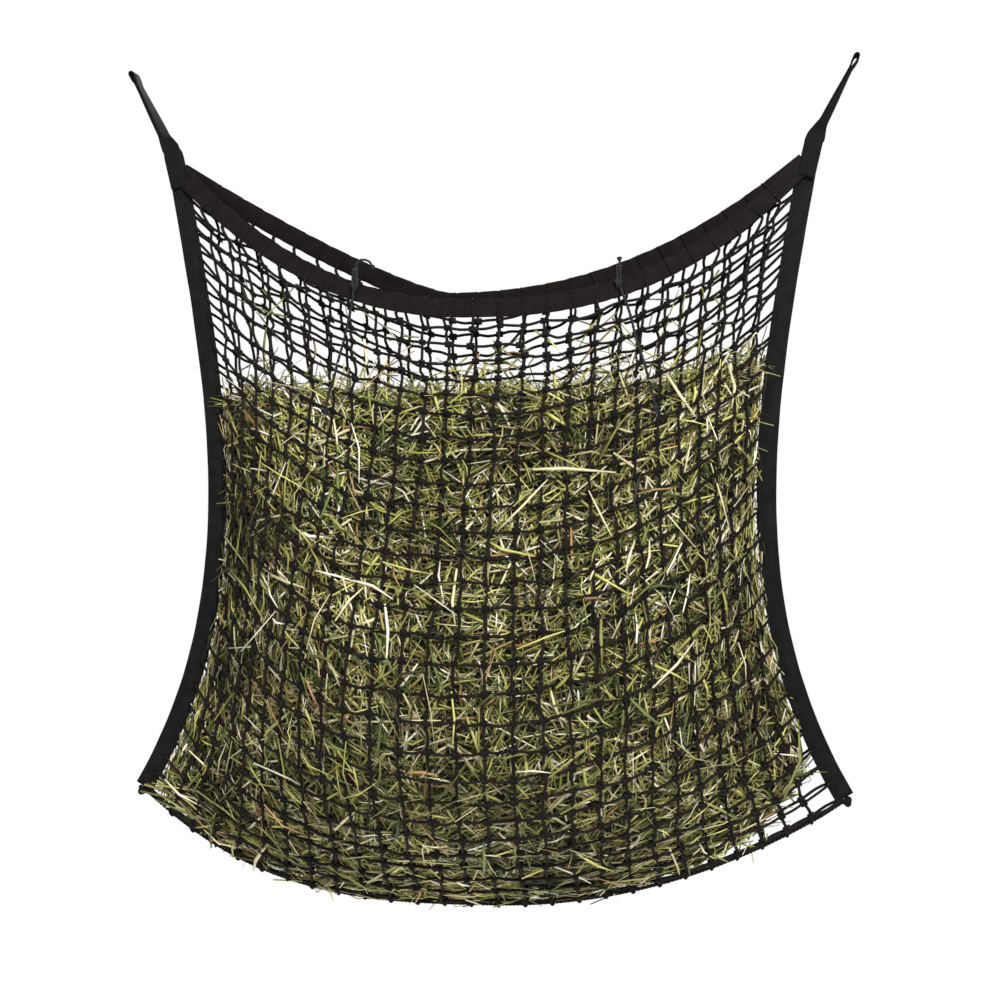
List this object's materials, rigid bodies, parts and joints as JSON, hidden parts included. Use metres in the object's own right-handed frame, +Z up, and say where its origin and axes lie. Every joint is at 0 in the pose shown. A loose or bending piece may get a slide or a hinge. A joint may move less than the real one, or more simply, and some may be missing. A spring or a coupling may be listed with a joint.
{
  "type": "hay net",
  "caption": "Slow-feed hay net: two knotted mesh panels edged with webbing, laced along the bottom, open at the top, hung by a webbing eye at each corner, filled with hay.",
  "frame": {"origin": "midway between the centres of the two strap eyes, on the line that the net hangs from", "axes": "+Z up, +X to the right seen from the front, the front faces -Y"},
  "size_m": [1.067, 0.4583, 1.2241],
  "materials": {
    "strap_webbing": "matte",
    "edge_webbing": "matte",
    "net_twine": "satin",
    "lacing_cord": "satin",
    "tie_cord": "satin",
    "hay": "matte"
  },
  "bodies": {
    "hangers": {"left_hanging_strap": "strap_webbing", "right_hanging_strap": "strap_webbing"},
    "bag": {"left_strap_tab": "strap_webbing", "right_strap_tab": "strap_webbing", "left_side_binding": "edge_webbing", "right_side_binding": "edge_webbing", "back_rim_webbing": "edge_webbing", "front_net": "net_twine", "back_net": "net_twine", "bottom_lacing_cord": "lacing_cord", "left_lacing_knot": "lacing_cord", "right_lacing_knot": "lacing_cord", "hay_fill": "hay"},
    "front_mouth": {"front_rim_webbing": "edge_webbing", "left_tie_cord": "tie_cord", "right_tie_cord": "tie_cord", "left_tie_knot": "tie_cord", "right_tie_knot": "tie_cord", "left_tie_end_knot": "tie_cord", "right_tie_end_knot": "tie_cord"}
  },
  "joints": [
    {"name": "bag_swing", "type": "hinge", "parent": "hangers", "child": "bag", "pos_m": [0, 0, -0.116], "axis": [1, 0, 0], "range_deg": [-20, 20]},
    {"name": "mouth_open", "type": "hinge", "parent": "bag", "child": "front_mouth", "pos_m": [0, 0, -0.116], "axis": [-1, 0, 0], "range_deg": [0, 28]}
  ]
}
